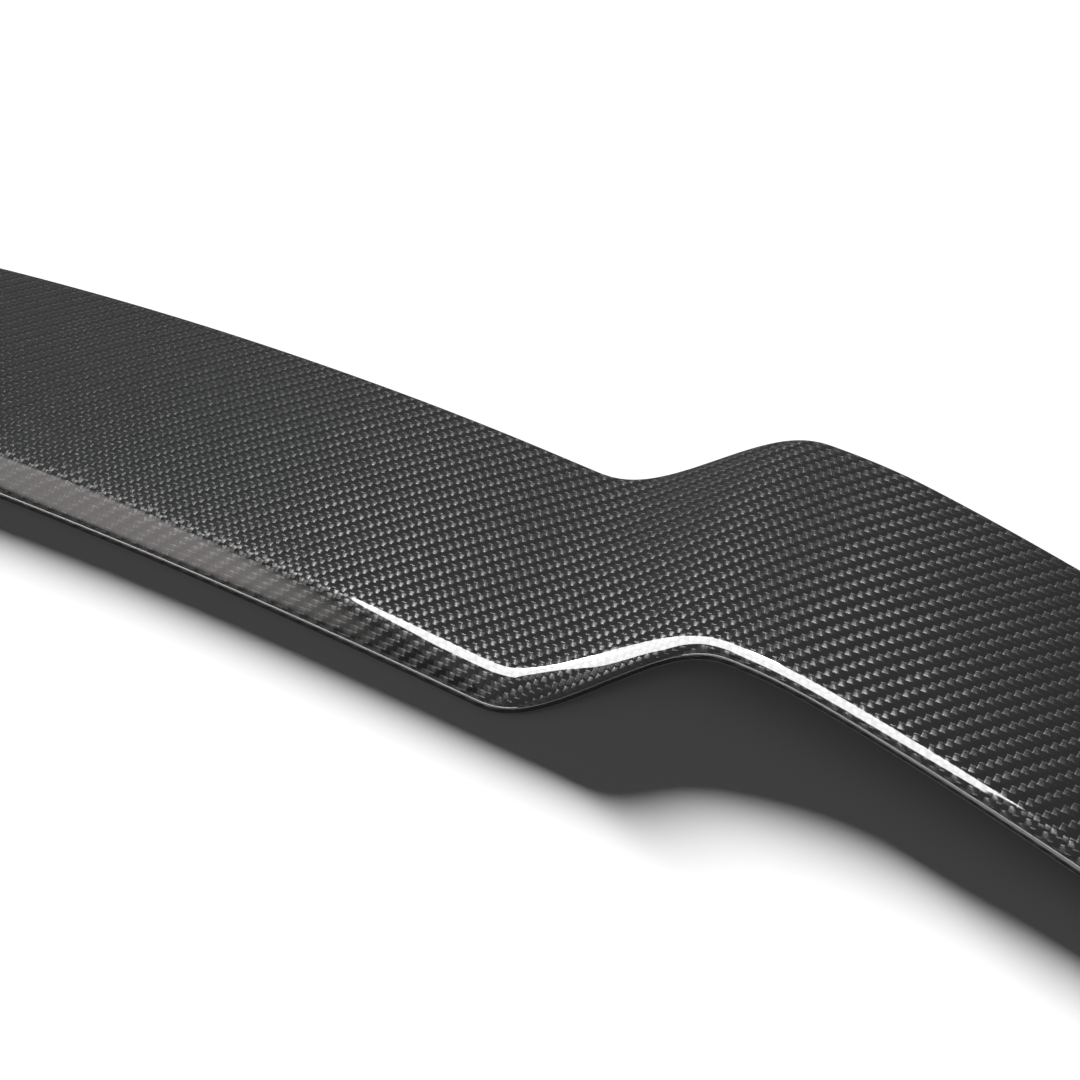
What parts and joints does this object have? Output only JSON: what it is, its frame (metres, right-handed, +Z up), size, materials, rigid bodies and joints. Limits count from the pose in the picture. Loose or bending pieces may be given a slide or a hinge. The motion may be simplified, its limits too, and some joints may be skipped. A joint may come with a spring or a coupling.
{
  "type": "car rear spoiler",
  "caption": "Thin boot-lid spoiler blade in glossy twill laminate, with a bevelled lip, a low middle and a raised, swept shoulder on each side.",
  "frame": {"origin": "on the bonding plane, at the outer edge of the lip's foot on the centre line", "axes": "+X across the car along the blade, +Y from the lip to the nose, +Z up from the panel"},
  "size_m": [1.24, 0.1547, 0.0167],
  "materials": {
    "laminate": "dark grey 2x2 twill fibre laminate under a smooth clear coat"
  },
  "bodies": {
    "root": {"spoiler_blade": "laminate"}
  },
  "joints": []
}
